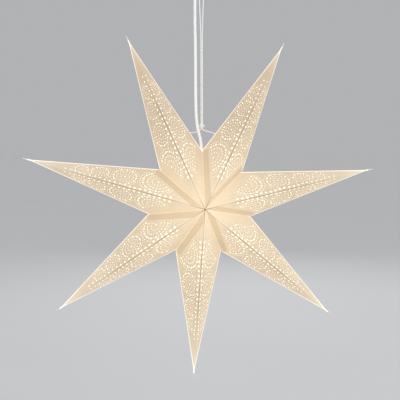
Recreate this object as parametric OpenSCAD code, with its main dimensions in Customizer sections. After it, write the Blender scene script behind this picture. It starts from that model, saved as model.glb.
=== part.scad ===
// Lit seven-pointed folding paper star, hung from a small ceiling cup.
// Millimetres, +Z up, front towards -Y, origin on the ceiling under the middle of the cup.

/* [Star] */
// Centre of the star to the fold lines' meeting point at each tip
tip_radius = 300; // [250:1:360]
// Centre of the star to the valleys between the points
valley_radius = 91; // [80:1:104]
// Overall depth, from the front centre to the back centre
star_depth = 178; // [150:1:200]
// Turn of the star about its own axis as it hangs, clockwise from the front
hang_roll = 2.3; // [0:0.1:6]

/* [Paper] */
// Thickness of the paper
paper_t = 0.4; // [0.3:0.05:0.6]
// Width of the glue flaps along the seams
flap_w = 13; // [9:0.5:16]
// Thickness of the glue between a flap and its panel
glue_t = 0.05; // [0.03:0.01:0.1]
// How far a glued edge stays back from the valley fold, at its outer end and at the middle of the star
seam_setback = 2.4; // [1.5:0.1:4]
centre_setback = 1; // [0.8:0.1:1.4]
// Clear distance from a flap's ends to the folds beside it
flap_inset = 3; // [2:0.1:5]
// Cut corner of each panel at the middle of the star
centre_trim = 3; // [2.5:0.1:6]
// Length of the pinched tail beyond each tip
tail_l = 9; // [4:0.5:14]
// Width of the pinched tail
tail_w = 2; // [1.4:0.1:3]

/* [Perforation] */
// Holes in the row along each side of a ridge
row_count = 22; // [14:1:23]
// First and last hole of a row, from the tip
row_from = 66; // [60:1:90]
row_to = 252; // [235:1:256]
// Middle of a row from the ridge fold, and how far the row swings to either side of it
row_y = 5.4; // [5:0.1:6]
row_swing = 1; // [0:0.1:1.2]
// Diameter of the largest holes, at the inner end of a row
row_hole_d = 4.4; // [3:0.1:4.6]
// Smallest hole of a row as a share of the largest
row_taper = 0.6; // [0.5:0.05:1]
// Rings of smaller holes on each panel
ring_count = 4; // [2:1:4]
// Radius of the largest ring of holes
ring_r = 26; // [22:0.5:27]
// Each ring's radius as a share of the next larger one
ring_ratio = 0.745; // [0.7:0.005:0.75]
// Distance from the largest ring's holes to the ridge fold
ridge_margin = 11.5; // [10:0.5:13]
// Diameter of the holes in the largest ring
hole_d = 3.2; // [2.4:0.1:3.6]
// Spacing of the holes along the largest ring
hole_pitch = 11; // [9:0.1:13]

/* [Hanging] */
// Ceiling to the centre of the star
drop = 425; // [420:1:600]
// Thickness of the hanging string
string_d = 2; // [1.5:0.1:2.4]
// Centre of the star to the middle of the string's knot
knot_height = 135; // [130:1:150]
// Width and height of the knot
knot_w = 9; // [8:0.1:10]
knot_h = 10.5; // [9:0.1:13]
// Holes for the string in the two upper points
eyelet_d = 3.4; // [3:0.1:4]
// Eyelet from the top valley, along the edge of its point
eyelet_reach = 37; // [34:0.5:40]
// Eyelet from the edge fold of its point
eyelet_edge = 5; // [4:0.1:7]

/* [Cable and lamp] */
// Diameter of the mains cable
cable_d = 5; // [4:0.1:5.2]
// Hole for the cable through the seam at the back of the top valley
cable_hole_d = 8; // [7:0.1:10]
// Clearance between pieces that fit into each other
fit = 0.15; // [0.1:0.01:0.25]
// Outer diameter of the lampholder sleeve
holder_d = 28; // [26:0.5:30]
// Wall of the lampholder's sleeve and cap
holder_wall = 2; // [1.5:0.1:2.5]
// Length of the lampholder sleeve
sleeve_l = 34; // [30:0.5:38]
// Height of the lampholder cap
cap_l = 18; // [15:0.5:22]
// Length of the tapered cord grip on the cap
grip_l = 22; // [20:0.5:26]
// Diameter of the bulb's screw base
base_d = 13.9; // [13:0.1:15]
// Length of the bulb's screw base
base_l = 22; // [20:0.5:24]
// Diameter of the bulb's glass
bulb_d = 45; // [40:0.5:50]

/* [Ceiling cup] */
// Diameter of the cup against the ceiling
cup_d = 74; // [70:1:90]
// Diameter of the cup's floor
cup_floor_d = 62; // [58:1:70]
// Height of the cup
cup_h = 34; // [28:0.5:40]
// Wall of the cup
cup_wall = 2; // [1.5:0.1:3]
// Bevel round the floor of the cup
cup_bevel = 1.5; // [0.5:0.1:2]
// Distance between the two ceiling screws
screw_pitch = 40; // [36:0.5:46]
// Diameter of the ceiling screw holes
screw_d = 4.5; // [3.5:0.1:5]
// Diameter of the hook's rod
hook_rod_d = 6; // [5:0.1:6.5]
// Bend radius of the hook, to the middle of its rod
hook_r = 8; // [7:0.1:10]
// Straight length of the hook below the cup
hook_neck = 12; // [8:0.5:18]

/* [Hidden] */
$fn = 64;
paper = [0.93, 0.85, 0.72];
white = [0.95, 0.94, 0.92];

// Star: one point lies along local +X, the front is local +Z
point_count = 7;
step = 360 / point_count;
tip = [tip_radius, 0, 0];
centre = [0, 0, star_depth / 2];
valley = valley_radius * [cos(step / 2), sin(step / 2), 0];
star_x = -valley_radius * sin(hang_roll);
star_z = -drop;

// One panel: x along the ridge from the tip, y across to the valley, z into the hollow
ridge_l = norm(centre - tip);
ridge_dir = (centre - tip) / ridge_l;
panel_x = (valley - tip) * ridge_dir;
across = valley - tip - panel_x * ridge_dir;
panel_y = norm(across);
across_dir = across / panel_y;
inward = cross(ridge_dir, across_dir);
edge_angle = atan2(panel_y, panel_x);
edge_l = norm(valley - tip);
seam_angle = atan2(panel_y, ridge_l - panel_x);
seam_l = norm([ridge_l - panel_x, panel_y]);
seam_dir = [ridge_l - panel_x, -panel_y] / seam_l;
seam_in = [seam_dir[1], -seam_dir[0]];

// Fold angles: between the two front panels of a point, and across a seam
ridge_fold = 180 - acos(inward * [inward[0], -inward[1], inward[2]]);
next_inward = [cos(step) * inward[0] + sin(step) * inward[1],
               sin(step) * inward[0] - cos(step) * inward[1], inward[2]];
seam_fold = acos(inward * next_inward);
ridge_back = 1.3 * paper_t / tan(ridge_fold);
flap_gap = 4 * paper_t;
flap_stop = [ridge_l, 0] - 2 * flap_inset * seam_dir;
row_turn = 72;
flap_root = (2 * paper_t + glue_t - paper_t * cos(seam_fold)) / sin(seam_fold);
flap_start = flap_root * cos(seam_fold) - paper_t * sin(seam_fold);

// The folded panels start where the hollow tip is a few papers wide, round the root of the tail
tip_papers = 6;
tip_cut = tip_papers * paper_t / sin(edge_angle);
tail_root = 1.3 * tip_cut;
tail_root_w = 0.92 * tail_root * valley[1] / (tip_radius - valley[0]);
tail_root_t = 0.92 * tail_root * star_depth / 2 / tip_radius;
tail_t = 2 * paper_t;

// Lamp, hung straight below the cable
lamp_y = cable_d / 2 + 1;
cap_height = 46;
cap_top = star_z + cap_height;
sleeve_top = cap_top - cap_l;
sleeve_bottom = sleeve_top - sleeve_l;
insert_top = sleeve_top;
insert_d = holder_d - 2 * holder_wall - 2 * fit;
bulb_gap = 1;
glass_top = sleeve_bottom - bulb_gap;
base_top = glass_top + base_l;
grip_d = cable_d + 5;
grip_tip_d = cable_d + 2.4;
mouth_gap = 2;

// Ceiling cup and hook
hook_y = hook_r;
hook_z = -cup_h - hook_neck;
nut_af = 10;
nut_h = 5;
boss_d = screw_d + 4.5;
cup_grip_d = cable_d + 4;
cup_grip_flange = cable_d + 7;
cup_grip_l = 9;
cable_x = -11;

// Points of the star in the ceiling's frame, from the plane of a panel at the back of the star
function turned(p, a) = [p[0] * cos(a) - p[1] * sin(a), p[0] * sin(a) + p[1] * cos(a), p[2]];
function point_angle(k) = 90 - step / 2 - hang_roll - (k - 1) * step;
function at_back(p, k, side) =
    let (q = turned([p[0], side * p[1], -p[2]], point_angle(k))) [q[0], -q[2], q[1]];
eyelet_2d = (edge_l - eyelet_reach) * [cos(edge_angle), sin(edge_angle)]
            + eyelet_edge * [sin(edge_angle), -cos(edge_angle)];
function eyelet(k, side, depth) = [star_x, 0, star_z]
    + at_back(tip + eyelet_2d[0] * ridge_dir + eyelet_2d[1] * across_dir + depth * inward, k, side);

// String route: left eyelet, knot, over the hook, knot, right eyelet
strand = string_d / 2 + fit;
loop_r = hook_rod_d / 2 + string_d / 2 + 2 * fit;
loop_z = hook_z - hook_r;
tuck = 6;
lift = 2.5;
string_left = [eyelet(point_count, -1, tuck), eyelet(point_count, -1, 0), eyelet(point_count, -1, -lift),
               [-13, 5, star_z + 122], [-5.5, 1.4, star_z + 125], [-2.4, 0.3, star_z + 126.6]];
string_right = [eyelet(1, 1, tuck), eyelet(1, 1, 0), eyelet(1, 1, -lift),
                [15, 5, star_z + 122.5], [6, 1.4, star_z + 125], [2.4, 0.3, star_z + 126.6]];
function mirrored(route) = [for (i = [len(route) - 1:-1:0]) route[i]];
function strand_up(side) = [
    [side * strand, 0, star_z + knot_height - 6.5], [side * strand, 0, star_z + knot_height + 10],
    [side * strand, 0, star_z + 200], [side * strand, 0, star_z + 270],
    [side * 2, 0, star_z + 310], [side * 3.4, 0, star_z + 345]];
loop = [for (a = [180:-30:0]) [loop_r * cos(a), 0, loop_z + loop_r * sin(a)]];
string_route = concat(string_left, strand_up(-1), loop, mirrored(strand_up(1)), mirrored(string_right));

// Cable route: from the cup to the lampholder
cable_route = [[cable_x, 0, -cup_h + 8], [cable_x, 0, -cup_h - 12], [cable_x, 0, -80], [-11, 0, -120],
               [-10.5, 0, -160], [-10.5, -1, -200], [-10.5, -2, -240], [-10.2, -2.6, -262],
               [-9.6, -3, -278], [-8.2, -3, -290], [-6, -2.5, -301], [-3.4, -0.6, -311],
               [-1.4, 1.8, -320], [-0.4, 3, -329], [0, lamp_y, -338], [0, lamp_y, -352],
               [0, lamp_y, cap_top + 5], [0, lamp_y, insert_top]];

// Tube of n sides along a route of points
function unit(v) = v / norm(v);
function heading(p, i) = unit(p[min(i + 1, len(p) - 1)] - p[max(i - 1, 0)]);
function side_of(d) = unit(cross(abs(d[1]) > 0.9 ? [1, 0, 0] : [0, 1, 0], d));
module tube(route, d, n) {
    rings = [for (i = [0:len(route) - 1])
        let (dir = heading(route, i), u = side_of(dir), v = cross(dir, u))
        for (k = [0:n - 1]) route[i] + d / 2 * (cos(360 * k / n) * u + sin(360 * k / n) * v)];
    last = len(route) - 1;
    polyhedron(rings, concat(
        [[for (k = [0:n - 1]) k]],
        [[for (k = [n - 1:-1:0]) last * n + k]],
        [for (i = [0:last - 1], k = [0:n - 1])
            [i * n + k, (i + 1) * n + k, (i + 1) * n + (k + 1) % n, i * n + (k + 1) % n]]));
}

// Places star parts: local XY is the star's plane, local +Z its front
module star_frame() translate([star_x, 0, star_z]) rotate([90, 0, 0]) children();

// Places a flat panel outline on the front left panel of a point
module panel_frame() {
    multmatrix([[ridge_dir[0], across_dir[0], inward[0], tip[0]],
                [ridge_dir[1], across_dir[1], inward[1], tip[1]],
                [ridge_dir[2], across_dir[2], inward[2], tip[2]],
                [0, 0, 0, 1]]) children();
}

// Centre of a ring of holes, midway between the ridge and the edge of the panel
function ring_centre(r) =
    r * (1 + ridge_margin / ring_r) * [(1 + cos(edge_angle)) / sin(edge_angle), 1];
function seam_distance(p) = (p - [ridge_l, 0]) * seam_in;

// Row of round holes along the ridge, swinging a little from side to side
module ridge_row() {
    for (k = [0:row_count - 1]) {
        share = k / (row_count - 1);
        translate([row_from + share * (row_to - row_from), row_y + row_swing * sin(row_turn * k)])
            circle(d = row_hole_d * (row_taper + (1 - row_taper) * share), $fn = 24);
    }
}

// Rings of smaller holes, growing towards the star's middle, open at the row and where a flap lies behind
module rings() {
    for (i = [0:ring_count - 1]) {
        r = ring_r * pow(ring_ratio, i);
        shrink = pow(ring_ratio, i / 3);
        n = round(2 * PI * r / (hole_pitch * shrink));
        for (k = [0:n - 1]) {
            a = edge_angle / 2 - 90 + 360 * k / n;
            p = ring_centre(r) + r * [cos(a), sin(a)];
            if (p[1] > row_y + row_hole_d + hole_d / 2 && seam_distance(p) > flap_w + hole_d)
                translate(p) circle(d = hole_d * shrink, $fn = 24);
        }
    }
}

// End of a flap at the outer end of its seam, along the edge fold of the point that it is glued to
function flap_end(start, s) =
    [panel_x, panel_y] + (start - s / tan(edge_angle + seam_angle)) * seam_dir + s * seam_in;

// Paper from a panel round the valley fold
module flap_fold(start) {
    polygon([flap_end(start, flap_inset / 2), flap_end(start, -flap_root),
             flap_stop - flap_root * seam_in, flap_stop + flap_inset / 2 * seam_in]);
}

// Flap on the inside of the neighbour, with a slanted outer end
module flap(start) {
    intersection() {
        polygon([flap_end(start, flap_start), flap_end(start, flap_w / 3), flap_end(start + flap_w, flap_w),
                 flap_stop + flap_w * seam_in, flap_stop + flap_start * seam_in]);
        translate([0, flap_inset]) square([ridge_l, panel_y]);
    }
}

// Flat outline of a panel; its seam edge stays away from the valley fold, by less at the star's middle
module panel_outline(back, centre_back) {
    corner = (edge_l - back / sin(edge_angle + seam_angle)) * [cos(edge_angle), sin(edge_angle)];
    end = centre_trim + centre_back / sin(seam_angle);
    polygon([tip_cut * [1, tan(edge_angle)], corner,
             [ridge_l, 0] + centre_back * seam_in - centre_trim * seam_dir,
             [ridge_l - end, ridge_back], [tip_cut, ridge_back]]);
}

// One panel of a point, with its fold to the glue flap or its edge glued on the neighbour's flap
module panel(flapped, start, eyelet) {
    panel_frame() linear_extrude(paper_t) difference() {
        union() {
            panel_outline(flapped ? 0 : seam_setback, flapped ? 0 : centre_setback);
            if (flapped)
                flap_fold(start);
        }
        ridge_row();
        rings();
        if (eyelet)
            translate(eyelet_2d) circle(d = eyelet_d, $fn = 24);
    }
    if (flapped)
        rotate(step) mirror([0, 1, 0]) panel_frame() translate([0, 0, paper_t + glue_t])
            linear_extrude(paper_t) flap(start);
}

// The pinched end of the sheet beyond the tip
module tail() {
    hull() {
        translate([tip_radius - tail_root, 0, 0]) rotate([0, 90, 0]) linear_extrude(paper_t)
            polygon([[tail_root_t, 0], [0, tail_root_w], [-tail_root_t, 0], [0, -tail_root_w]]);
        translate([tip_radius - tail_l / 4, -tail_w / 2, -tail_t / 2])
            cube([tail_l / 2, tail_w, tail_t]);
    }
    translate([tip_radius, -tail_w / 2, -tail_t / 2]) cube([tail_l, tail_w, tail_t]);
}

// One point of the star: four panels folded round a ridge in front, a ridge behind and two edges
module paper_point(k) {
    left_flap = k > 1;
    right_flap = k == point_count;
    top_left = k == 1;
    top_right = k == point_count;
    color(paper) difference() {
        star_frame() rotate(point_angle(k)) {
            for (back = [false, true]) mirror([0, 0, back ? 1 : 0]) {
                panel(left_flap, flap_gap, back && top_left);
                mirror([0, 1, 0])
                    panel(right_flap, back ? cable_hole_d + flap_inset : flap_gap, back && top_right);
            }
            tail();
        }
        if (top_left || top_right)
            translate([0, lamp_y, star_z + valley_radius - cable_hole_d])
                cylinder(d = cable_hole_d, h = 3 * cable_hole_d);
    }
}

// Thin white string, doubled over the hook and tied to the two upper points
module hanging_string() color(white) tube(string_route, string_d, 8);

// Overhand knot in the two strands
module string_knot() {
    color(white) translate([0, 0, star_z + knot_height]) difference() {
        rotate_extrude() intersection() {
            scale([1, knot_h / knot_w]) circle(d = knot_w);
            translate([0, -knot_h]) square([knot_w, 2 * knot_h]);
        }
        for (x = [-strand, strand])
            translate([x, 0, -knot_h]) cylinder(d = string_d + fit, h = 2 * knot_h);
    }
}

// White round mains cable
module cable() color(white) tube(cable_route, cable_d, 12);

// Tapered cord grip on top of the lampholder
module cord_grip() {
    color(white) translate([0, lamp_y, cap_top]) difference() {
        cylinder(d1 = grip_d, d2 = grip_tip_d, h = grip_l);
        translate([0, 0, -1]) cylinder(d = cable_d + 2 * fit, h = grip_l + 2);
    }
}

// Domed cap of the lampholder, open below
module holder_cap() {
    dome = cap_l / 2;
    color(white) translate([0, lamp_y, sleeve_top]) difference() {
        rotate_extrude() difference() {
            union() {
                square([holder_d / 2, cap_l - dome]);
                translate([0, cap_l - dome]) intersection() {
                    scale([holder_d / 2 / dome, 1]) circle(r = dome);
                    square([holder_d, dome]);
                }
                square([grip_d / 2, cap_l]);
            }
            square([holder_d / 2 - holder_wall, cap_l - dome]);
        }
        translate([0, 0, cap_l / 4]) cylinder(d = cable_d + 2 * fit, h = cap_l);
    }
}

// Insert with the threaded socket for the bulb
module holder_insert() {
    color(white) translate([0, lamp_y, sleeve_bottom + holder_wall]) difference() {
        cylinder(d = insert_d, h = insert_top - sleeve_bottom - holder_wall);
        translate([0, 0, -1])
            cylinder(d = base_d + 2 * fit, h = base_top - sleeve_bottom - holder_wall + 1);
    }
}

// Sleeve round the insert
module holder_sleeve() {
    color(white) translate([0, lamp_y, sleeve_bottom]) difference() {
        cylinder(d = holder_d, h = sleeve_l);
        translate([0, 0, holder_wall]) cylinder(d = holder_d - 2 * holder_wall, h = sleeve_l);
        translate([0, 0, -1]) cylinder(d = base_d + 2 * mouth_gap, h = sleeve_l);
    }
}

// Round bulb with its screw base, one sealed piece
module bulb() {
    neck = base_d / 2;
    ball = bulb_d / 2;
    ball_z = -sqrt(ball * ball - neck * neck);
    color(paper) translate([0, lamp_y, glass_top]) rotate_extrude() {
        square([neck, base_l]);
        intersection() {
            translate([0, ball_z]) circle(d = bulb_d);
            translate([0, -2 * bulb_d]) square([bulb_d, 2 * bulb_d]);
        }
    }
}

// Moulded cup against the ceiling, with two screw bosses
module ceiling_cup() {
    color(white) difference() {
        union() {
            rotate_extrude() polygon([
                [0, -cup_h], [cup_floor_d / 2 - cup_bevel, -cup_h], [cup_floor_d / 2, cup_bevel - cup_h],
                [cup_d / 2, 0], [cup_d / 2 - cup_wall, 0],
                [cup_floor_d / 2 - cup_wall, cup_wall - cup_h], [0, cup_wall - cup_h]]);
            for (y = [-1, 1]) translate([0, y * screw_pitch / 2, -cup_h]) cylinder(d = boss_d, h = cup_h);
        }
        for (y = [-1, 1])
            translate([0, y * screw_pitch / 2, -cup_h - 1]) cylinder(d = screw_d, h = cup_h + 2);
        translate([0, hook_y, -cup_h - 1]) cylinder(d = hook_rod_d + 2 * fit, h = cup_wall + 2);
        translate([cable_x, 0, -cup_h - 1]) cylinder(d = cup_grip_d + 2 * fit, h = cup_wall + 2);
    }
}

// Collar that holds the cable in the floor of the cup
module cup_cord_grip() {
    color(white) translate([cable_x, 0, -cup_h]) difference() {
        union() {
            cylinder(d = cup_grip_d, h = cup_grip_l);
            translate([0, 0, -cup_wall]) cylinder(d = cup_grip_flange, h = cup_wall);
        }
        translate([0, 0, -cup_wall - 1]) cylinder(d = cable_d + 2 * fit, h = cup_grip_l + cup_wall + 2);
    }
}

// Bent rod hook that carries the string
module ceiling_hook() {
    color(white) {
        translate([0, hook_y, hook_z]) cylinder(d = hook_rod_d, h = -hook_z - cup_h + cup_wall + nut_h);
        translate([0, 0, hook_z]) rotate([0, 90, 0]) rotate([0, 0, -90])
            rotate_extrude(angle = 180) translate([hook_r, 0]) circle(d = hook_rod_d);
        translate([0, -hook_r, hook_z]) sphere(d = hook_rod_d);
    }
}

// Nut on the hook inside the cup
module hook_nut() {
    color(white) translate([0, hook_y, cup_wall - cup_h]) difference() {
        cylinder(d = nut_af / cos(30), h = nut_h, $fn = 6);
        translate([0, 0, -1]) cylinder(d = hook_rod_d + 2 * fit, h = nut_h + 2);
    }
}

for (k = [1:point_count])
    paper_point(k);
hanging_string();
string_knot();
cable();
cord_grip();
holder_cap();
holder_insert();
holder_sleeve();
bulb();
ceiling_cup();
cup_cord_grip();
ceiling_hook();
hook_nut();
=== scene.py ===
"""Lit seven-pointed paper star on its string and cable: camera, cords, folded points, finishes, light."""

import math

import bpy
import numpy as np
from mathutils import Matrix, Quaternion, Vector, noise
from mathutils.geometry import delaunay_2d_cdt


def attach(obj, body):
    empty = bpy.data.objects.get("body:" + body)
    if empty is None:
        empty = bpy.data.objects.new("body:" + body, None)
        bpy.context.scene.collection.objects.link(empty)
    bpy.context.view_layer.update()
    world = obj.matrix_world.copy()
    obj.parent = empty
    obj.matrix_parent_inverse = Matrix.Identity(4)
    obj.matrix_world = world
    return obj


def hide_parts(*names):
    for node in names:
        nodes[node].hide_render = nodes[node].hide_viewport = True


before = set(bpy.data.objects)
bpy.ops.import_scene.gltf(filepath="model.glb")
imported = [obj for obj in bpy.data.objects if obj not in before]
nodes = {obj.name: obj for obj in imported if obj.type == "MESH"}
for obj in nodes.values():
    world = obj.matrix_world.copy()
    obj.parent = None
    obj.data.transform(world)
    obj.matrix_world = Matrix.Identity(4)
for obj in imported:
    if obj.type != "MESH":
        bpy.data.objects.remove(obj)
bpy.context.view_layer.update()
scene = bpy.context.scene
scene.view_settings.view_transform = "Standard"
MM = 0.001

# Star, in millimetres: one point lies along local +X, the front is local +Z
POINTS = 7
STEP = math.tau / POINTS
TIP_R, VALLEY_R, DEPTH = 300.0, 91.0, 178.0
ROLL = math.radians(2.3)
DROP = 425.0
STAR_X, STAR_Z = -VALLEY_R * math.sin(ROLL), -DROP
TIP = Vector((TIP_R, 0, 0))
CENTRE = Vector((0, 0, DEPTH / 2))
VALLEY = Vector((math.cos(STEP / 2), math.sin(STEP / 2), 0)) * VALLEY_R

# One panel: x along the ridge from the tip, y across to the valley, depth into the hollow
RIDGE_L = (CENTRE - TIP).length
RIDGE_DIR = (CENTRE - TIP) / RIDGE_L
PANEL_X = (VALLEY - TIP).dot(RIDGE_DIR)
ACROSS = VALLEY - TIP - RIDGE_DIR * PANEL_X
PANEL_Y = ACROSS.length
ACROSS_DIR = ACROSS / PANEL_Y
INWARD = RIDGE_DIR.cross(ACROSS_DIR)
CORNER = np.array([PANEL_X, PANEL_Y])
EDGE_L = (VALLEY - TIP).length
EDGE_A = math.atan2(PANEL_Y, PANEL_X)
SEAM_L = math.hypot(RIDGE_L - PANEL_X, PANEL_Y)
SEAM_A = math.atan2(PANEL_Y, RIDGE_L - PANEL_X)
SEAM_DIR = np.array([RIDGE_L - PANEL_X, -PANEL_Y]) / SEAM_L
SEAM_IN = np.array([SEAM_DIR[1], -SEAM_DIR[0]])

# Paper: glue flaps with a slanted outer end, seams set back from their fold, a cut tip, slight bowing
PAPER_T, GLUE_T = 0.4, 0.05
FLAP_W, FLAP_INSET, FLAP_GAP, FLAP_END_GAP, FLAP_SLANT = 13.0, 3.0, 1.6, 1.5, 1.5
FLAP_ROOT = FLAP_W / 3
FLAP_LEAN = 1 / math.tan(EDGE_A + SEAM_A)
SETBACK, CENTRE_SETBACK, TRIM = 2.4, 0.1, 0.05
TIP_CUT = 7.0
WAVE_HEIGHT, WAVE_REACH, WAVE_ALONG, WAVE_ACROSS = 1.1, 22.0, 0.016, 0.028
SHARP_FOLD = math.radians(28)

# Pinched tail: reach past the tip, half width and half thickness of each oval section
TAIL = ((-11.0, 1.75, 3.05), (-6.0, 1.15, 1.65), (-2.0, 0.98, 0.75),
        (1.5, 0.98, 0.46), (5.0, 0.9, 0.42), (9.0, 0.78, 0.38))
TAIL_SIDES, TAIL_BEND, TAIL_UV = 12, 0.35, [6.0, 1.0]

# Perforation: a row along the ridge and rings that grow towards the middle of the star
ROW_COUNT, ROW_FROM, ROW_TO = 22, 66.0, 252.0
ROW_Y, ROW_SWING, ROW_TURN = 5.4, 1.0, math.radians(72)
ROW_HOLE_D, ROW_TAPER = 4.4, 0.6
RING_COUNT, RING_R, RING_RATIO, RIDGE_MARGIN = 4, 26.0, 0.745, 11.5
HOLE_D, HOLE_PITCH = 3.2, 11.0

# Finer holes: between those of a ring, in its middle, on circles inside it and on one outside it
FINE_FROM_RIDGE, FINE_FROM_EDGE, FINE_FROM_FLAP, FINE_GAP = 2.6, 4.0, 3.0, 1.1
BETWEEN_D, MIDDLE_D = 1.9, 2.6
INNER_SHARE_D_PITCH = ((0.40, 1.6, 5.4), (0.72, 1.9, 6.0))
OUTER_STEP, OUTER_D = 5.0, 1.5

# Eyelets for the string, the cable's hole and the lamp below it
EYELET_D, EYELET_REACH, EYELET_EDGE = 3.4, 37.0, 5.0
EYELET_X = (EDGE_L - EYELET_REACH) * math.cos(EDGE_A) + EYELET_EDGE * math.sin(EDGE_A)
EYELET_Y = (EDGE_L - EYELET_REACH) * math.sin(EDGE_A) - EYELET_EDGE * math.cos(EDGE_A)
CABLE_HOLE_D, CABLE_HOLE_SIDES, LAMP_Y = 8.0, 28, 3.5
GLASS_TOP, BALL_Z = -432.0, -453.4

# Cords: the string's three strands turn once every lay, and the knot is a little thicker
STRING_R, STRING_SIDES, STRING_STEP = 1.0, 12, 0.8
STRING_LOBES, STRING_LAY, LOBE_DIP = 3, 9.0, 0.07
STRAND_X, LOOP_R, LOOP_Z = 1.15, 4.3, -54
KNOT_R, KNOT_Z, KNOT_STEPS = 1.15, 134, 120
KNOT_WIDE, KNOT_TALL, KNOT_DEEP = 1.4, 1.1, 1.25
CABLE_R, CABLE_SIDES, CABLE_STEP = 2.5, 24, 3.0


def panel_at(x, y, depth=0.0):
    """A place on a point's front panel, in the star's own frame."""
    return TIP + RIDGE_DIR * x + ACROSS_DIR * y + INWARD * depth


def edge_distance(x, y):
    """How far a place on a panel lies in from the outer edge."""
    return x * math.sin(EDGE_A) - y * math.cos(EDGE_A)


def seam_distance(x, y):
    """How far a place on a panel lies in from the valley fold."""
    return (x - RIDGE_L) * SEAM_IN[0] + y * SEAM_IN[1]


def ring_centre(r):
    """Middle of a ring of holes, midway between the ridge and the edge."""
    reach = r * (1 + RIDGE_MARGIN / RING_R)
    return reach * (1 + math.cos(EDGE_A)) / math.sin(EDGE_A), reach


def point_angle(k):
    """Direction of a point in the star's plane; the first is right of the top valley."""
    return math.pi / 2 - STEP / 2 - ROLL - (k - 1) * STEP


def to_part(p, k, side, face):
    """Local place of a point to the part's frame, in millimetres; side and face mirror it."""
    a = point_angle(k)
    y, z = side * p[1], face * p[2]
    return Vector((STAR_X + p[0] * math.cos(a) - y * math.sin(a), -z,
                   STAR_Z + p[0] * math.sin(a) + y * math.cos(a)))


def panel_normal(k, side, face):
    """Outward direction of a panel."""
    return to_part(panel_at(0, 0, -1), k, side, face) - to_part(panel_at(0, 0), k, side, face)


def add_object(name, data):
    """Puts a new object into the scene."""
    obj = bpy.data.objects.new(name, data)
    scene.collection.objects.link(obj)
    return obj


def make_camera():
    """Camera at the photograph's viewing angle."""
    azimuth, elevation, roll = math.radians(-5.32), math.radians(6.15), math.radians(-0.22)
    target, distance = Vector((-0.0036, 0, -0.4189)), 1.3
    back = Vector((math.sin(azimuth) * math.cos(elevation), -math.cos(azimuth) * math.cos(elevation),
                   math.sin(elevation)))
    data = bpy.data.cameras.new("camera")
    data.sensor_width, data.lens = 36.0, 67.9
    data.clip_start, data.clip_end = 0.05, 60.0
    cam = add_object("camera", data)
    cam.location = target + back * distance
    cam.rotation_mode = "QUATERNION"
    cam.rotation_quaternion = (-back).to_track_quat("-Z", "Y") @ Quaternion((0, 0, 1), roll)
    scene.camera = cam


make_camera()


# Materials
class Look:
    """A node material with short ways to write its arithmetic."""

    def __init__(self, name):
        self.material = bpy.data.materials.new(name)
        self.material.use_nodes = True
        self.tree = self.material.node_tree
        self.shader = next(n for n in self.tree.nodes if n.type == "BSDF_PRINCIPLED")

    def node(self, kind, **values):
        n = self.tree.nodes.new(kind)
        for key, value in values.items():
            setattr(n, key, value)
        return n

    def put(self, socket, value):
        if isinstance(value, bpy.types.NodeSocket):
            self.tree.links.new(value, socket)
        else:
            socket.default_value = value

    def set(self, **values):
        """Sets the shader's sockets by name, with _ for a space."""
        for key, value in values.items():
            self.put(self.shader.inputs[key.replace("_", " ")], value)

    def math(self, op, a, b=0.0, c=0.0):
        n = self.node("ShaderNodeMath", operation=op)
        for socket, value in zip(n.inputs, (a, b, c)):
            self.put(socket, value)
        return n.outputs[0]

    def vector(self, op, a, b, out="Vector"):
        n = self.node("ShaderNodeVectorMath", operation=op)
        self.put(n.inputs[0], a)
        self.put(n.inputs[1], b)
        return n.outputs[out]

    def ease(self, value, low, high, start=0.0, end=1.0):
        """Goes smoothly from start to end as the value goes from low to high."""
        n = self.node("ShaderNodeMapRange", interpolation_type="SMOOTHSTEP")
        for i, v in enumerate((value, low, high, start, end)):
            self.put(n.inputs[i], v)
        return n.outputs[0]

    def mix(self, share, a, b, blend="MIX"):
        """Mixes two colours, which are the node's sockets 6 and 7 and its output 2."""
        n = self.node("ShaderNodeMix", data_type="RGBA", blend_type=blend)
        for i, v in ((0, share), (6, a), (7, b)):
            self.put(n.inputs[i], v)
        return n.outputs[2]

    def tinted(self, colour, share, tint):
        return self.mix(share, colour, self.mix(1.0, colour, tint, "MULTIPLY"))

    def scaled(self, colour, by):
        n = self.node("ShaderNodeVectorMath", operation="SCALE")
        self.put(n.inputs[0], colour)
        self.put(n.inputs["Scale"], by)
        return n.outputs[0]

    def ramp(self, value, stops):
        n = self.node("ShaderNodeValToRGB")
        while len(n.color_ramp.elements) < len(stops):
            n.color_ramp.elements.new(0.5)
        for e, (place, colour) in zip(n.color_ramp.elements, stops):
            e.position, e.color = place, (*colour, 1)
        self.put(n.inputs[0], value)
        return n.outputs[0]

    def place(self):
        return self.node("ShaderNodeTexCoord").outputs["Object"]

    def axis(self, vector, name):
        n = self.node("ShaderNodeSeparateXYZ")
        self.put(n.inputs[0], vector)
        return n.outputs[name]

    def noise(self, scale, detail=2.0, roughness=0.5):
        n = self.node("ShaderNodeTexNoise")
        self.put(n.inputs["Vector"], self.place())
        for key, value in (("Scale", scale), ("Detail", detail), ("Roughness", roughness)):
            n.inputs[key].default_value = value
        return n.outputs["Fac"]

    def bump(self, height, strength, distance):
        n = self.node("ShaderNodeBump")
        n.inputs["Strength"].default_value = strength
        n.inputs["Distance"].default_value = distance
        self.put(n.inputs["Height"], height)
        self.put(self.shader.inputs["Normal"], n.outputs[0])


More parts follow.
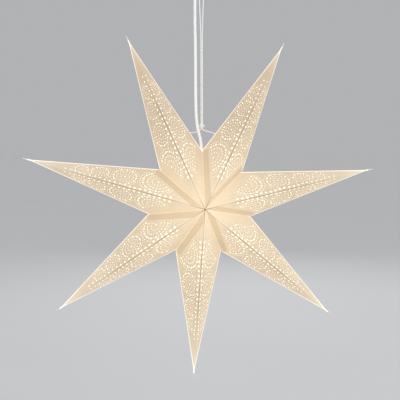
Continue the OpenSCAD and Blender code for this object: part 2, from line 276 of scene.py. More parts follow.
# Paper: its painted glow from tip to middle, painted shade over double paper and on the upper points,
# painted light on the edges
UV_UNIT = 400.0
GLOW = [(0.0, (0.56, 0.50, 0.37)), (0.16, (0.41, 0.322, 0.21)), (0.45, (0.355, 0.26, 0.162)),
        (0.72, (0.455, 0.352, 0.222)), (1.0, (0.62, 0.48, 0.30))]
DOUBLE_PAPER_SHADE, UPPER_POINT_SHADE = (0.76, 0.675, 0.57, 1), (0.76, 0.67, 0.58, 1)
EDGE_LIGHT = (0.36, 0.355, 0.34)
# The paper's own tone from dark to pale, then the brown of painted shade in the creases and the middle
PAPER_DARK, PAPER_PALE, PAINTED_SHADE_BROWN = (0.40, 0.36, 0.30, 1), (0.47, 0.43, 0.365, 1), (0.10, 0.07, 0.04, 1)

# Pressed lines: faint and full half width, places beside a ring's holes, two more round the largest
MARK = (0.75, 0.25)
MARK_BESIDE, MARK_OUTSIDE, MARK_FROM_ROW = (-3.4, 3.2), (11.0, 19.0), 4.4

# Painted shade along the creased ridge, by distance from the tip, and in the dark middle with its spokes,
# by distance from it
CREASE_FROM, CREASE_FULL, CREASE_FADES, CREASE_HALF = 70.0, 150.0, 250.0, 275.0
SPOKE_FROM, SPOKE_FULL, HUB_R, HUB_FULL = 24.0, 4.0, 2.8, 0.8


def panel_places(m, uv):
    """Places on a panel in millimetres: x, y, in from the edge, in from the seam and along the seam."""
    x = m.math("MULTIPLY", m.axis(uv, "X"), UV_UNIT)
    y = m.math("MULTIPLY", m.axis(uv, "Y"), UV_UNIT)
    edge = m.math("SUBTRACT", m.math("MULTIPLY", x, math.sin(EDGE_A)),
                  m.math("MULTIPLY", y, math.cos(EDGE_A)))
    seam = m.math("ADD", m.math("MULTIPLY", m.math("SUBTRACT", x, RIDGE_L), float(SEAM_IN[0])),
                  m.math("MULTIPLY", y, float(SEAM_IN[1])))
    run = m.math("ADD", m.math("MULTIPLY", m.math("SUBTRACT", x, PANEL_X), float(SEAM_DIR[0])),
                 m.math("MULTIPLY", m.math("SUBTRACT", y, PANEL_Y), float(SEAM_DIR[1])))
    return x, y, edge, seam, run


def flap_marks(m, seam, run, glued):
    """Painted shade over double paper on the neighbour's flap, slanted at its end, and a painted shade line
    along its inner side.
    """
    slant = m.math("MULTIPLY", m.math("MAXIMUM", m.math("SUBTRACT", seam, FLAP_ROOT), 0.0), FLAP_SLANT)
    start = m.math("ADD", m.math("MULTIPLY", seam, -FLAP_LEAN), m.math("ADD", slant, FLAP_GAP))
    over = m.math("MULTIPLY", m.ease(m.math("SUBTRACT", run, start), -0.4, 0.4), glued)
    double = m.math("MULTIPLY", m.ease(seam, FLAP_W + 0.3, FLAP_W - 0.3), over)
    off_side = m.math("ABSOLUTE", m.math("SUBTRACT", seam, FLAP_W))
    return double, m.math("MULTIPLY", m.ease(off_side, 0.9, 0.2), over)


def crease_marks(m, x, y):
    """Painted shade along the creased ridge, fading out towards its ends, and in the dark middle of the
    star with short spokes.
    """
    crease_shade = m.math("MULTIPLY", m.ease(y, 1.25, 0.35), m.ease(x, CREASE_FROM, CREASE_FULL))
    crease_shade = m.math("MULTIPLY", crease_shade, m.ease(x, CREASE_FADES, CREASE_HALF, 1.0, 0.5))
    reach = m.ease(x, RIDGE_L - SPOKE_FROM, RIDGE_L - SPOKE_FULL, 0.0, 0.75)
    spokes = m.math("MULTIPLY", m.ease(y, 1.0, 0.3), reach)
    middle = m.ease(m.math("SUBTRACT", RIDGE_L, x), HUB_R, HUB_FULL)
    return crease_shade, m.math("MAXIMUM", spokes, middle)


def outline_marks(m, uv, x, y, seam):
    """Thin pressed lines round the rings of holes and beside the row along the ridge."""
    swing = m.math("MULTIPLY", m.math("SINE", m.math("MULTIPLY", x, 0.14)), 0.8)
    beside = m.math("ABSOLUTE", m.math("SUBTRACT", y, m.math("ADD", swing, ROW_Y + MARK_FROM_ROW)))
    lines = m.math("MULTIPLY", m.ease(beside, *MARK), m.ease(x, CREASE_FROM, CREASE_FROM + 20.0))
    for i in range(RING_COUNT):
        r = RING_R * RING_RATIO ** i
        cx, cy = ring_centre(r)
        away = m.vector("DISTANCE", uv, (cx / UV_UNIT, cy / UV_UNIT, 0.0), "Value")
        off = m.math("MULTIPLY", away, UV_UNIT)
        for reach in MARK_BESIDE if i else MARK_BESIDE + MARK_OUTSIDE:
            near = m.math("ABSOLUTE", m.math("SUBTRACT", off, r + reach))
            lines = m.math("MAXIMUM", lines, m.ease(near, *MARK))
    return m.math("MULTIPLY", lines, m.ease(seam, FLAP_W + 1.0, FLAP_W + 3.0))


def paper_outside():
    """Glowing paper, its glow painted: double layers and creases darker with painted shade, edges and the
    middle brighter with painted light, fine fibres.
    """
    m = Look("paper_outside")
    uv = m.node("ShaderNodeUVMap", uv_map="panel").outputs[0]
    glued = m.axis(m.node("ShaderNodeUVMap", uv_map="kind").outputs[0], "X")
    x, y, edge, seam, run = panel_places(m, uv)
    double, flap_edge_shade = flap_marks(m, seam, run, glued)
    crease_shade, middle_shade = crease_marks(m, x, y)
    # Painted highlight along the valley fold of a panel that carries a flap
    fold = m.math("MULTIPLY", m.ease(seam, 1.9, 0.5), m.math("SUBTRACT", 1.0, glued))
    fibre, cloud = m.noise(420.0, 5.0, 0.65), m.noise(38.0, 2.0)
    shade = m.math("ADD", m.math("MULTIPLY", fold, 0.10), 1.0)
    pressed = outline_marks(m, uv, x, y, seam)
    # Painted shade along a flap's inner edge, the creased ridge and the middle; the pressed lines are marks
    # in the paper
    for mark, darker in ((flap_edge_shade, 0.20), (crease_shade, 0.55), (middle_shade, 0.8), (pressed, 0.30)):
        shade = m.math("SUBTRACT", shade, m.math("MULTIPLY", mark, darker))
    shade = m.math("MAXIMUM", shade, 0.05)
    for texture, share in ((fibre, 0.30), (cloud, 0.20)):
        shade = m.math("MULTIPLY", shade, m.math("ADD", m.math("MULTIPLY", texture, share), 1 - share / 2))
    # Painted shade dims the glow where the paper lies double over a flap
    glow = m.tinted(m.ramp(m.math("DIVIDE", x, RIDGE_L), GLOW), double, DOUBLE_PAPER_SHADE)
    glow = m.scaled(glow, shade)
    # Painted shade: the upper points are further from the bulb
    glow = m.tinted(glow, m.ease(m.axis(m.place(), "Z"), -0.40, -0.24), UPPER_POINT_SHADE)
    glow = m.vector("ADD", glow, m.scaled(EDGE_LIGHT, m.ease(edge, 3.8, 1.0)))
    base = m.mix(fibre, PAPER_DARK, PAPER_PALE)
    # Painted shade in the base colour, brown along the creased ridge and in the middle
    base = m.mix(m.math("MULTIPLY", m.math("MAXIMUM", crease_shade, middle_shade), 0.7), base, PAINTED_SHADE_BROWN)
    m.set(Base_Color=base, Roughness=0.86, Specular_IOR_Level=0.18, Emission_Color=glow,
          Emission_Strength=1.0)
    m.bump(m.noise(900.0, 4.0, 0.6), 0.22, 0.0004)
    return m.material


def paper_inside():
    """The lit inner side of the paper, brightest near the lamp."""
    m = Look("paper_inside")
    away = m.vector("DISTANCE", m.place(), (0.0, LAMP_Y * MM, BALL_Z * MM), "Value")
    level = m.ease(away, 0.05, 0.30, 1.0, 0.80)
    level = m.math("MULTIPLY", level, m.math("ADD", m.math("MULTIPLY", m.noise(160.0, 3.0), 0.2), 0.9))
    m.set(Base_Color=(0.45, 0.40, 0.32, 1), Roughness=0.9, Specular_IOR_Level=0.1,
          Emission_Color=m.scaled((1.0, 0.95, 0.76), level), Emission_Strength=1.0)
    return m.material


def pinched_paper():
    """Plain paper of the tails, beyond the light."""
    m = Look("pinched_paper")
    fibre = m.noise(420.0, 5.0, 0.65)
    m.set(Base_Color=m.mix(fibre, (0.66, 0.64, 0.60, 1), (0.78, 0.76, 0.71, 1)), Roughness=0.88)
    m.bump(fibre, 0.25, 0.0004)
    return m.material


def plastic(name, dark, light, roughness, grain, strength):
    """Moulded plastic with a faint mould texture."""
    m = Look(name)
    cloud = m.noise(45.0, 3.0)
    m.set(Base_Color=m.mix(cloud, (*dark, 1), (*light, 1)),
          Roughness=m.ease(m.noise(140.0, 2.0), 0.3, 0.7, roughness - 0.06, roughness + 0.06))
    m.bump(m.noise(grain, 2.0), strength, 0.0003)
    return m.material


def twisted_string():
    """White string with fine fibres."""
    m = Look("cotton_string")
    fibre = m.noise(1500.0, 4.0, 0.7)
    m.set(Base_Color=m.mix(fibre, (0.80, 0.79, 0.76, 1), (0.93, 0.92, 0.90, 1)), Roughness=0.92,
          Sheen_Weight=0.25)
    m.bump(fibre, 0.5, 0.0003)
    return m.material


def bulb_look():
    """Frosted glass that glows, above it the plated screw base with its thread."""
    m = Look("frosted_bulb")
    z = m.axis(m.place(), "Z")
    metal = m.ease(z, GLASS_TOP * MM - 0.0002, GLASS_TOP * MM + 0.0002)
    thread = m.math("SINE", m.math("MULTIPLY", z, math.tau / 0.0028))
    frost = m.noise(300.0, 3.0)
    glass = m.mix(frost, (0.90, 0.80, 0.62, 1), (0.98, 0.90, 0.74, 1))
    tint = m.mix(metal, (1.0, 0.86, 0.56, 1), (0.0, 0.0, 0.0, 1))
    m.set(Base_Color=m.mix(metal, glass, (0.74, 0.70, 0.60, 1)), Metallic=metal,
          Roughness=m.math("ADD", m.math("MULTIPLY", metal, -0.12), 0.42),
          Emission_Color=tint, Emission_Strength=1.5)
    m.bump(m.math("MULTIPLY", thread, metal), 0.5, 0.0006)
    return m.material


def steel(name, dark, light, metallic, roughness):
    """Painted or plated steel, a little uneven."""
    m = Look(name)
    wear = m.noise(220.0, 4.0, 0.6)
    m.set(Base_Color=m.mix(wear, (*dark, 1), (*light, 1)), Metallic=metallic,
          Roughness=m.ease(wear, 0.3, 0.7, roughness - 0.08, roughness + 0.08))
    m.bump(m.noise(700.0, 2.0), 0.12, 0.0002)
    return m.material


STRING_LOOK = twisted_string()
CABLE_LOOK = plastic("cable_sheath", (0.88, 0.875, 0.86), (0.93, 0.925, 0.91), 0.30, 260.0, 0.05)
PAPER_LOOKS = (paper_outside(), paper_inside(), pinched_paper())
OUTSIDE, INSIDE, PINCHED = range(3)


# Cords, along the routes of the part's source
def blend(a, b, start, end, t):
    """Straight from a, where t is at the start, to b, where it is at the end."""
    return a * ((end - t) / (end - start)) + b * ((t - start) / (end - start))


def smooth_line(points, gap):
    """Even places along a smooth curve through the points, and its length."""
    p = [Vector(q) for q in points]
    p = [p[0] * 2 - p[1], *p, p[-1] * 2 - p[-2]]
    fine = []
    for a, b, c, d in zip(p, p[1:], p[2:], p[3:]):
        t0, t1 = 0.0, (b - a).length ** 0.5
        t2 = t1 + (c - b).length ** 0.5
        t3 = t2 + (d - c).length ** 0.5
        count = max(2, int((c - b).length / gap * 3))
        for i in range(count):
            t = t1 + (t2 - t1) * i / count
            a1 = blend(a, b, t0, t1, t)
            a2 = blend(b, c, t1, t2, t)
            a3 = blend(c, d, t2, t3, t)
            b1 = blend(a1, a2, t0, t2, t)
            b2 = blend(a2, a3, t1, t3, t)
            fine.append(blend(b1, b2, t1, t2, t))
    fine.append(p[-2])
    fine = np.array([list(q) for q in fine])
    far = np.concatenate([[0], np.cumsum(np.linalg.norm(np.diff(fine, axis=0), axis=1))])
    at = np.linspace(0, far[-1], int(far[-1] / gap) + 1)
    even = np.stack([np.interp(at, far, fine[:, i]) for i in range(3)], 1)
    return [Vector(q) for q in even], float(far[-1])


def tube(name, line, radius, sides, material, lobes=0, lay=1.0, closed=False):
    """Mesh tube along a line in millimetres; lobes give it twisted strands, one turn every lay."""
    count = len(line)
    if closed:
        ahead = [(line[(i + 1) % count] - line[i - 1]).normalized() for i in range(count)]
    else:
        ahead = [(line[min(i + 1, count - 1)] - line[max(i - 1, 0)]).normalized() for i in range(count)]
    up = ahead[0].orthogonal().normalized()
    verts, turned = [], 0.0
    for i, d in enumerate(ahead):
        if i:
            up = ahead[i - 1].rotation_difference(d) @ up
            turned += (line[i] - line[i - 1]).length * math.tau / lay
        out = d.cross(up)
        for s in range(sides):
            a = math.tau * s / sides
            r = radius * (1 - LOBE_DIP + LOBE_DIP * math.cos(lobes * (a - turned))) if lobes else radius
            verts.append((line[i] + (up * math.cos(a) + out * math.sin(a)) * r) * MM)
    faces = []
    for i in range(count if closed else count - 1):
        low, high = i * sides, (i + 1) % count * sides
        for s in range(sides):
            after = (s + 1) % sides
            faces.append((low + after, high + after, high + s, low + s))
    if not closed:
        faces += [tuple(reversed(range(sides))), tuple(range((count - 1) * sides, count * sides))]
    mesh = bpy.data.meshes.new(name)
    mesh.from_pydata([tuple(v) for v in verts], [], faces)
    mesh.polygons.foreach_set("use_smooth", [True] * len(mesh.polygons))
    mesh.materials.append(material)
    mesh.update()
    return add_object(name, mesh)


def eyelet(k, side, depth):
    """A place on the axis of an eyelet, in the back of a point."""
    return to_part(panel_at(EYELET_X, EYELET_Y, depth), k, side, -1)


def strand_up(side):
    """One strand from the knot up to the hook."""
    places = ((STRAND_X, 128.5), (STRAND_X, 145), (STRAND_X, 200), (STRAND_X, 270), (2, 310), (3.4, 345))
    return [(side * x, 0, STAR_Z + z) for x, z in places]


def trefoil(centre):
    """A closed overhand knot, facing the front."""
    line = []
    for i in range(KNOT_STEPS):
        t = math.tau * i / KNOT_STEPS
        line.append(centre + Vector(((math.sin(t) + 2 * math.sin(2 * t)) * KNOT_WIDE,
                                     -math.sin(3 * t) * KNOT_DEEP,
                                     (2 * math.cos(2 * t) - math.cos(t)) * KNOT_TALL)))
    return line


string_left = [eyelet(7, -1, 6), eyelet(7, -1, 0), eyelet(7, -1, -2.5), (-13, 5, STAR_Z + 122),
               (-5.5, 1.4, STAR_Z + 125), (-2.4, 0.3, STAR_Z + 126.6)]
string_right = [eyelet(1, 1, 6), eyelet(1, 1, 0), eyelet(1, 1, -2.5), (15, 5, STAR_Z + 122.5),
                (6, 1.4, STAR_Z + 125), (2.4, 0.3, STAR_Z + 126.6)]
hook_loop = [(LOOP_R * math.cos(math.radians(a)), 0, LOOP_Z + LOOP_R * math.sin(math.radians(a)))
             for a in range(180, -1, -30)]
string_route = string_left + strand_up(-1) + hook_loop + strand_up(1)[::-1] + string_right[::-1]
cable_route = [(-11, 0, -26), (-11, 0, -46), (-11, 0, -80), (-11, 0, -120), (-10.5, 0, -160),
               (-10.5, -1, -200), (-10.5, -2, -240), (-10.2, -2.6, -262), (-9.6, -3, -278),
               (-8.2, -3, -290), (-6, -2.5, -301), (-3.4, -0.6, -311), (-1.4, 1.8, -320),
               (-0.4, 3, -329), (0, LAMP_Y, -338), (0, LAMP_Y, -352), (0, LAMP_Y, -374), (0, LAMP_Y, -397)]

string_line, string_length = smooth_line(string_route, STRING_STEP)
string = tube("twisted_string", string_line, STRING_R, STRING_SIDES, STRING_LOOK, STRING_LOBES, STRING_LAY)
knot_line = trefoil(Vector((0, 0, STAR_Z + KNOT_Z)))
knot = tube("tied_knot", knot_line, KNOT_R, STRING_SIDES, STRING_LOOK, STRING_LOBES, STRING_LAY,
            closed=True)
cable_line, cable_length = smooth_line(cable_route, CABLE_STEP)
cable = tube("mains_cable", cable_line, CABLE_R, CABLE_SIDES, CABLE_LOOK)
for piece, node, slot in ((string, "hanging_string", "string"), (knot, "string_knot", "string"),
                          (cable, "cable", "cable")):
    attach(piece, "root")
    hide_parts(node)


# Folded points
def perforation():
    """(x, y, diameter) of each hole in a panel: the row along the ridge, the rings, the finer holes."""
    holes, start = [], EDGE_A / 2 - math.pi / 2

    def fine(x, y, d):
        clear = (y - d / 2 >= FINE_FROM_RIDGE and edge_distance(x, y) - d / 2 >= FINE_FROM_EDGE
                 and seam_distance(x, y) - d / 2 >= FLAP_W + FINE_FROM_FLAP)
        if clear and all(math.hypot(x - u, y - v) > (d + e) / 2 + FINE_GAP for u, v, e in holes):
            holes.append((x, y, d))

    def fine_circle(cx, cy, r, n, d, turn=0.0):
        for k in range(n):
            a = start + math.tau * (k + turn) / n
            fine(cx + r * math.cos(a), cy + r * math.sin(a), d)

    for k in range(ROW_COUNT):
        share = k / (ROW_COUNT - 1)
        holes.append((ROW_FROM + share * (ROW_TO - ROW_FROM), ROW_Y + ROW_SWING * math.sin(ROW_TURN * k),
                      ROW_HOLE_D * (ROW_TAPER + (1 - ROW_TAPER) * share)))
    rings = []
    for i in range(RING_COUNT):
        r, shrink = RING_R * RING_RATIO ** i, RING_RATIO ** (i / 3)
        cx, cy = ring_centre(r)
        n = round(math.tau * r / (HOLE_PITCH * shrink))
        rings.append((cx, cy, r, n, shrink))
        for k in range(n):
            a = start + math.tau * k / n
            x, y = cx + r * math.cos(a), cy + r * math.sin(a)
            if y > ROW_Y + ROW_HOLE_D + HOLE_D / 2 and seam_distance(x, y) > FLAP_W + HOLE_D:
                holes.append((x, y, HOLE_D * shrink))
    for cx, cy, r, n, shrink in rings:
        fine_circle(cx, cy, r, n, BETWEEN_D * shrink, 0.5)
        fine(cx, cy, MIDDLE_D * shrink)
        for share, d, pitch in INNER_SHARE_D_PITCH:
            count = max(5, round(math.tau * r * share / (pitch * shrink)))
            fine_circle(cx, cy, share * r, count, d * shrink)
        outer = r + OUTER_STEP * shrink
        fine_circle(cx, cy, outer, round(math.tau * outer / OUTER_STEP), OUTER_D)
    return holes


def samples(start, end, gap, also):
    """Even places from start to end, with another among them."""
    n = max(1, round((end - start) / gap))
    even = [start + (end - start) * i / n for i in range(n + 1)]
    kept = [v for v in even if abs(v - also) > gap * 0.3 or v in (start, end)]
    return sorted({*kept, also})


HOLES = perforation()
HOLE_SIDES = ((3.2, 16), (2.2, 12), (1.5, 8), (0.0, 6))
FOLD_GAP, FILL_GAP, FILL_MARGIN, FILL_FROM_HOLE = 5.0, 6.5, 3.0, 1.2
FILL_X, FILL_Y = TIP_CUT + 4, 3.5
ON_FOLD, SAME_PLACE = 1e-3, 0.02
RIDGE_END = RIDGE_L - TRIM
RIDGE_SET = RIDGE_L - TRIM - CENTRE_SETBACK / math.sin(SEAM_A)
EDGE_SET = EDGE_L - SETBACK / math.sin(EDGE_A + SEAM_A)
RIDGE_AT = samples(TIP_CUT, RIDGE_END, FOLD_GAP, RIDGE_SET)
EDGE_AT = samples(TIP_CUT / math.cos(EDGE_A), EDGE_L, FOLD_GAP, EDGE_SET)
FLAP_TO, FLAP_N = SEAM_L - FLAP_END_GAP, 16
FLAP_AT = [FLAP_GAP + (FLAP_TO - FLAP_GAP) * i / FLAP_N for i in range(FLAP_N + 1)]
FLAP_ROWS = [0.0, 1.2, SETBACK, FLAP_ROOT, 8.5, FLAP_W]


def cable_cut(k, side):
    """The cable's round hole through the back of the top valley, on a panel's own plane."""
    o, ex, ey = (to_part(panel_at(*p), k, side, -1) for p in ((0, 0), (1, 0), (0, 1)))
    origin = np.array([o.x, o.y])
    grid = np.array([[ex.x - o.x, ey.x - o.x], [ex.y - o.y, ey.y - o.y]])
    back = np.linalg.inv(grid)
    r = CABLE_HOLE_D / 2
    turn = [math.tau * i / CABLE_HOLE_SIDES for i in range(CABLE_HOLE_SIDES)]
    loop = [back @ (np.array([r * math.cos(a), LAMP_Y + r * math.sin(a)]) - origin) for a in turn]
    return grid, origin, loop


def panel_outline(flapped):
    """Places round a flat panel: along the ridge, back along the seam and along the edge to the tip."""
    ridge_end, edge_end = (RIDGE_END, EDGE_L) if flapped else (RIDGE_SET, EDGE_SET)
    ridge = [(x, 0.0) for x in RIDGE_AT if x <= ridge_end + 1e-6]
    edge = [(s * math.cos(EDGE_A), s * math.sin(EDGE_A)) for s in EDGE_AT if s <= edge_end + 1e-6]
    end = CORNER + (SEAM_L - TRIM) * SEAM_DIR
    if flapped:
        seam = [tuple(CORNER + t * SEAM_DIR) for t in FLAP_AT] + [tuple(end)]
    else:
        first, last = np.array(edge[-1]), end + CENTRE_SETBACK * SEAM_IN
        seam = [tuple(first + (last - first) * i / FLAP_N) for i in range(1, FLAP_N + 1)]
    return ridge + seam[::-1] + edge[::-1]


def hole_loop(x, y, d):
    """Places round a hole, more of them on a larger one."""
    n = next(sides for least, sides in HOLE_SIDES if d > least)
    turn = [math.tau * i / n for i in range(n)]
    return [(x + d / 2 * math.cos(a), y + d / 2 * math.sin(a)) for a in turn]


def fill_places(holes, flapped):
    """Even places inside a panel, clear of its outline and its holes."""
    spots = np.array(holes)
    from_seam = FILL_MARGIN if flapped else SETBACK + FILL_MARGIN
    places = []
    for i, x in enumerate(np.arange(FILL_X, RIDGE_L, FILL_GAP)):
        for y in np.arange(FILL_Y + FILL_GAP / 2 * (i % 2), PANEL_Y, FILL_GAP):
            if edge_distance(x, y) > FILL_MARGIN and seam_distance(x, y) > from_seam:
                away = np.hypot(spots[:, 0] - x, spots[:, 1] - y)
                if (away > spots[:, 2] / 2 + FILL_FROM_HOLE).all():
                    places.append((x, y))
    return places


def inside_outline(places, outline):
    """Which places lie inside a closed outline."""
    inside = np.zeros(len(places), bool)
    for a, b in zip(outline, np.roll(outline, -1, 0)):
        crosses = (a[1] > places[:, 1]) != (b[1] > places[:, 1])
        with np.errstate(divide="ignore", invalid="ignore"):
            at = (b[0] - a[0]) * (places[:, 1] - a[1]) / (b[1] - a[1]) + a[0]
        inside ^= crosses & (places[:, 0] < at)
    return inside


def flat_panel(flapped, with_eyelet=False, cut=None):
    """Flat triangles of a panel: places, triangles and whether each place is on the rim of a hole."""
    holes = list(HOLES)
    if with_eyelet:
        holes = [(x, y, d) for x, y, d in holes
                 if math.hypot(x - EYELET_X, y - EYELET_Y) > (d + EYELET_D) / 2 + 1]
        holes.append((EYELET_X, EYELET_Y, EYELET_D))
    outline = [Vector(p) for p in panel_outline(flapped)]
    loops = [outline, *([Vector(p) for p in hole_loop(*h)] for h in holes)]
    if cut:
        loops.append([Vector(p) for p in cut[2]])
    verts, edges = [], []
    for loop in loops:
        first = len(verts)
        verts += loop
        edges += [(first + i, first + (i + 1) % len(loop)) for i in range(len(loop))]
    verts += [Vector(p) for p in fill_places(holes, flapped)]
    out, _, tris, *_ = delaunay_2d_cdt(verts, edges, [], 0, 1e-4)
    flat = np.array([list(v) for v in out], float)
    tris = np.array(tris, int)
    mid = flat[tris].mean(1)
    kept = inside_outline(mid, np.array([list(v) for v in outline]))
    rim = np.zeros(len(flat), bool)
    for x, y, d in holes:
        kept &= np.hypot(mid[:, 0] - x, mid[:, 1] - y) > d / 2
        rim |= np.abs(np.hypot(flat[:, 0] - x, flat[:, 1] - y) - d / 2) < SAME_PLACE
    if cut:
        plan = mid @ cut[0].T + cut[1]
        kept &= np.hypot(plan[:, 0], plan[:, 1] - LAMP_Y) > CABLE_HOLE_D / 2
    tris = tris[kept]
    a, b, c = (flat[tris[:, i]] for i in range(3))
    area = (b[:, 0] - a[:, 0]) * (c[:, 1] - a[:, 1]) - (b[:, 1] - a[:, 1]) * (c[:, 0] - a[:, 0])
    tris[area < 0] = tris[area < 0][:, ::-1]
    return flat, tris[np.abs(area) > 1e-5], rim


# The panels that have no eyelet, made once
FLAT = {flapped: flat_panel(flapped) for flapped in (False, True)}


def wave(x, y, k, side, face):
    """How far the paper bows from flat, nothing at its folds."""
    inner = min(y, edge_distance(x, y), seam_distance(x, y) - SETBACK)
    hold = max(0.0, min(1.0, inner / WAVE_REACH))
    place = Vector((x * WAVE_ALONG, y * WAVE_ACROSS, 3.7 * k + 1.3 * side + 0.7 * face))
    return WAVE_HEIGHT * hold * hold * (3 - 2 * hold) * noise.noise(place)


class Sheet:
    """Outer side of a folded sheet, with places welded along its folds."""

    MITRE, SAME_WAY = 2.2, 0.01

    def __init__(self):
        self.places, self.normals, self.rim, self.index = [], [], [], {}
        self.tris, self.uv, self.glued = [], [], []

    def vertex(self, key, place, normal, rim=False):
        """Adds a place, or finds the one that a fold has already, and notes its panel's direction."""
        if key is not None and key in self.index:
            i = self.index[key]
            if all((normal - n).length > self.SAME_WAY for n in self.normals[i]):
                self.normals[i].append(normal)
            return i
        i = len(self.places)
        self.places.append(place)
        self.normals.append([normal])
        self.rim.append(rim)
        if key is not None:
            self.index[key] = i
        return i

    def triangle(self, corners, uv, glued):
        self.tris.append(corners)
        self.uv.append([list(p) for p in uv])
        self.glued.append(glued)

    def inner(self, i):
        """The place on the other side of the paper, at its thickness from each panel that meets there."""
        n = np.array([list(v) for v in self.normals[i]])
        if len(n) == 1:
            d = -PAPER_T * n[0]
        else:
            d = np.linalg.lstsq(n, np.full(len(n), -PAPER_T), rcond=None)[0]
            d *= min(1.0, self.MITRE * PAPER_T / np.linalg.norm(d))
        return self.places[i] + Vector(d)


class Faces:
    """Faces of a mesh, with each corner's place on its panel and whether that is glued over a flap."""

    def __init__(self):
        self.faces, self.uv, self.glued, self.slots = [], [], [], []

    def add(self, corners, uv, glued, slot):
        self.faces.append(corners)
        self.uv += uv
        self.glued += [glued] * len(corners)
        self.slots.append(slot)


def fold_key(x, y, side, face, flapped):
    """Names a place on a fold, so that the panels that meet there share it."""
    if abs(y) < ON_FOLD:
        return "ridge", face, int(np.abs(np.array(RIDGE_AT) - x).argmin())
    if abs(edge_distance(x, y)) < ON_FOLD:
        near = np.abs(np.array(EDGE_AT) - math.hypot(x, y))
        return ("edge", side, int(near.argmin())) if near.min() < SAME_PLACE else None
    if flapped and abs(seam_distance(x, y)) < ON_FOLD:
        near = np.abs(np.array(FLAP_AT) - math.hypot(x - CORNER[0], y - CORNER[1]))
        return ("seam", side, face, int(near.argmin())) if near.min() < SAME_PLACE else None
    return None


def fold_point(k):
    """One point: four perforated panels, its glue flaps and its pinched tail, as one thick sheet."""
    sheet = Sheet()
    for face in (1, -1):
        for side in (1, -1):
            flapped = (side == 1 and k > 1) or k == POINTS
            at_top = (k == 1 and side == 1) or (k == POINTS and side == -1)
            if face == -1 and at_top:
                flat, tris, rim = flat_panel(flapped, True, cable_cut(k, side))
            else:
                flat, tris, rim = FLAT[flapped]
            normal = panel_normal(k, side, face)
            ids = []
            for (x, y), on_rim in zip(flat, rim):
                place = to_part(panel_at(x, y, wave(x, y, k, side, face)), k, side, face)
                ids.append(sheet.vertex(fold_key(x, y, side, face, flapped), place, normal, bool(on_rim)))
            for t in tris if side * face < 0 else tris[:, ::-1]:
                sheet.triangle([ids[i] for i in t], [flat[i] for i in t], 0.0 if flapped else 1.0)
            if flapped:
                add_flap(sheet, k, side, face)
    finish_sheet(sheet, k)


def add_flap(sheet, k, side, face):
    """The glue flap beyond a valley fold, under the neighbour's panel."""
    next_k = k - side
    normal = panel_normal(next_k, -side, face)
    start = CABLE_HOLE_D + FLAP_INSET if face == -1 and k == POINTS and side == -1 else FLAP_GAP
    first = next(j for j, t in enumerate(FLAP_AT) if t >= start - 1e-6)
    grid = []
    for s in FLAP_ROWS:
        stop = min(FLAP_TO, (PANEL_Y - FLAP_INSET + s * SEAM_IN[1]) / math.sin(SEAM_A))
        begin = FLAP_AT[first] + max(0.0, s - FLAP_ROOT) * FLAP_SLANT - s * FLAP_LEAN
        row = []
        for j in range(first, FLAP_N + 1):
            if s == 0:
                x, y = CORNER + FLAP_AT[j] * SEAM_DIR
                i = sheet.vertex(("seam", side, face, j), to_part(panel_at(x, y), k, side, face), normal)
            else:
                t = begin + (stop - begin) * (j - first) / (FLAP_N - first)
                x, y = CORNER + t * SEAM_DIR + s * SEAM_IN
                depth = PAPER_T + GLUE_T + wave(x, y, next_k, -side, face)
                i = sheet.vertex(None, to_part(panel_at(x, y, depth), next_k, -side, face), normal)
            row.append((i, (x, y)))
        grid.append(row)
    for low, high in zip(grid, grid[1:]):
        for a, b, c, d in zip(low, low[1:], high[1:], high):
            for tri in ((a, b, c), (a, c, d)):
                tri = tri if side * face < 0 else tri[::-1]
                sheet.triangle([v[0] for v in tri], [v[1] for v in tri], 0.0)


def thicken(sheet):
    """The sheet's places on both sides, its two skins and the strips along its open edges and holes."""
    n = len(sheet.places)
    places = [list(p) for p in sheet.places] + [list(sheet.inner(i)) for i in range(n)]
    skin, directed = Faces(), {}
    for t, uv, glued in zip(sheet.tris, sheet.uv, sheet.glued):
        skin.add(t, uv, glued, OUTSIDE)
        for i in range(3):
            after = (i + 1) % 3
            directed[t[i], t[after]] = uv[i], uv[after]
    for t, uv, glued in zip(sheet.tris, sheet.uv, sheet.glued):
        skin.add([i + n for i in reversed(t)], uv[::-1], glued, INSIDE)
    for (a, b), (uv_a, uv_b) in directed.items():
        if (b, a) not in directed:
            slot = INSIDE if sheet.rim[a] and sheet.rim[b] else OUTSIDE
            skin.add([b, a, a + n, b + n], [uv_b, uv_a, uv_a, uv_b], 0.0, slot)
    return places, skin


def add_tail(places, skin, k):
    """The pinched end of the sheet, lit as far as the tip and plain beyond it."""
    first = len(places)
    for reach, wide, thick in TAIL:
        bend = TAIL_BEND * math.sin(2.1 * k + 0.5) * (max(reach, 0) / TAIL[-1][0]) ** 2
        for i in range(TAIL_SIDES):
            a = math.tau * i / TAIL_SIDES
            p = (TIP_R + reach, wide * math.cos(a) + bend, thick * math.sin(a))
            places.append(list(to_part(p, k, 1, 1)))
    rings = [[first + j * TAIL_SIDES + i for i in range(TAIL_SIDES)] for j in range(len(TAIL))]
    faces = []
    for low, high in zip(rings, rings[1:]):
        for i in range(TAIL_SIDES):
            after = (i + 1) % TAIL_SIDES
            faces.append([low[i], low[after], high[after], high[i]])
    faces += [rings[0][::-1], rings[-1]]
    plain_from = first + sum(reach < 0 for reach, *_ in TAIL) * TAIL_SIDES
    for f in faces:
        skin.add(f, [TAIL_UV] * len(f), 0.0, OUTSIDE if min(f) < plain_from else PINCHED)


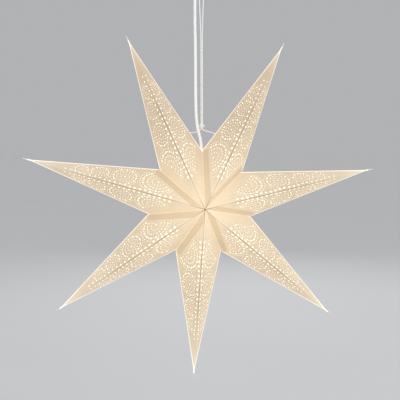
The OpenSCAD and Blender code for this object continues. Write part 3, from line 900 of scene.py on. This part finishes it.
def finish_sheet(sheet, k):
    """Gives the sheet its thickness and its tail and makes the object."""
    places, skin = thicken(sheet)
    add_tail(places, skin, k)
    name = f"folded_point_{k}"
    mesh = bpy.data.meshes.new(name)
    mesh.from_pydata((np.array(places) * MM).tolist(), [], skin.faces)
    kind = np.stack([skin.glued, np.zeros(len(skin.glued))], 1)
    for layer, values in (("panel", np.array(skin.uv) / UV_UNIT), ("kind", kind)):
        mesh.uv_layers.new(name=layer).data.foreach_set("uv", values.astype(np.float32).ravel())
    for look in PAPER_LOOKS:
        mesh.materials.append(look)
    mesh.polygons.foreach_set("material_index", skin.slots)
    mesh.polygons.foreach_set("use_smooth", [True] * len(mesh.polygons))
    mesh.update()
    mesh.set_sharp_from_angle(angle=SHARP_FOLD)
    obj = add_object(name, mesh)
    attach(obj, "root")
    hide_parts(f"point_{k}")


for number in range(1, POINTS + 1):
    fold_point(number)


# Finishes of the lamp and the ceiling fitting
def dress(look, *names):
    """Gives the part's own pieces a finish."""
    for name in names:
        mesh = nodes[name].data
        mesh.materials.clear()
        mesh.materials.append(look)


HOLDER_LOOK = plastic("holder_plastic", (0.78, 0.77, 0.74), (0.86, 0.85, 0.82), 0.42, 420.0, 0.10)
CUP_LOOK = plastic("cup_plastic", (0.80, 0.80, 0.78), (0.87, 0.87, 0.85), 0.34, 380.0, 0.08)
dress(HOLDER_LOOK, "cord_grip", "holder_cap", "holder_insert", "holder_sleeve")
dress(CUP_LOOK, "ceiling_cup", "cup_cord_grip")
dress(bulb_look(), "bulb")
dress(steel("hook_paint", (0.76, 0.76, 0.74), (0.85, 0.85, 0.83), 0.0, 0.38), "ceiling_hook")
dress(steel("nut_zinc", (0.50, 0.50, 0.51), (0.66, 0.66, 0.67), 1.0, 0.34), "hook_nut")

# Floor, world and soft light
FLOOR_HALF, FLOOR_Z = 14.0, -1.02
WORLD_LIGHT, WORLD_STRENGTH = (0.97, 0.985, 1.0, 1), 0.66
BACKDROP, BACKDROP_STRENGTH = (0.438, 0.448, 0.462, 1), 1.0
LIT_PLACE = Vector((0, 0, -0.42))


def make_floor():
    """Plain pale floor."""
    corners = [(x * FLOOR_HALF, y * FLOOR_HALF, FLOOR_Z) for x, y in ((-1, -1), (1, -1), (1, 1), (-1, 1))]
    mesh = bpy.data.meshes.new("floor")
    mesh.from_pydata(corners, [], [(0, 1, 2, 3)])
    m = Look("floor")
    cloud = m.noise(2.0, 3.0)
    m.set(Base_Color=m.mix(cloud, (0.67, 0.675, 0.685, 1), (0.70, 0.705, 0.715, 1)), Roughness=0.9)
    mesh.materials.append(m.material)
    add_object("floor", mesh)


def make_world():
    """Soft light from all round, and a grey backdrop for the camera and for what metal and glass show."""
    world = bpy.data.worlds.new("world")
    scene.world = world
    world.use_nodes = True
    tree = world.node_tree
    tree.nodes.clear()
    path = tree.nodes.new("ShaderNodeLightPath")
    seen = path.outputs["Is Camera Ray"]
    for other in ("Is Glossy Ray", "Is Transmission Ray"):
        either = tree.nodes.new("ShaderNodeMath")
        either.operation = "MAXIMUM"
        tree.links.new(seen, either.inputs[0])
        tree.links.new(path.outputs[other], either.inputs[1])
        seen = either.outputs[0]
    mix = tree.nodes.new("ShaderNodeMixShader")
    tree.links.new(seen, mix.inputs[0])
    shades = ((WORLD_LIGHT, WORLD_STRENGTH), (BACKDROP, BACKDROP_STRENGTH))
    for socket, (colour, strength) in zip(mix.inputs[1:], shades):
        shade = tree.nodes.new("ShaderNodeBackground")
        shade.inputs["Color"].default_value = colour
        shade.inputs["Strength"].default_value = strength
        tree.links.new(shade.outputs[0], socket)
    out = tree.nodes.new("ShaderNodeOutputWorld")
    tree.links.new(mix.outputs[0], out.inputs[0])


def make_lamp(name, place, power, size):
    """Round area lamp, aimed at the star."""
    data = bpy.data.lights.new(name, "AREA")
    data.energy, data.shape, data.size = power, "DISK", size
    lamp = add_object(name, data)
    lamp.location = place
    lamp.rotation_euler = (LIT_PLACE - Vector(place)).to_track_quat("-Z", "Y").to_euler()


make_floor()
make_world()
make_lamp("key", (-0.9, -2.0, 0.0), 13.0, 1.6)
make_lamp("fill", (1.6, -1.6, -0.3), 15.0, 1.8)
make_lamp("behind", (0.4, 2.2, 0.6), 10.0, 1.8)

bpy.context.view_layer.update()
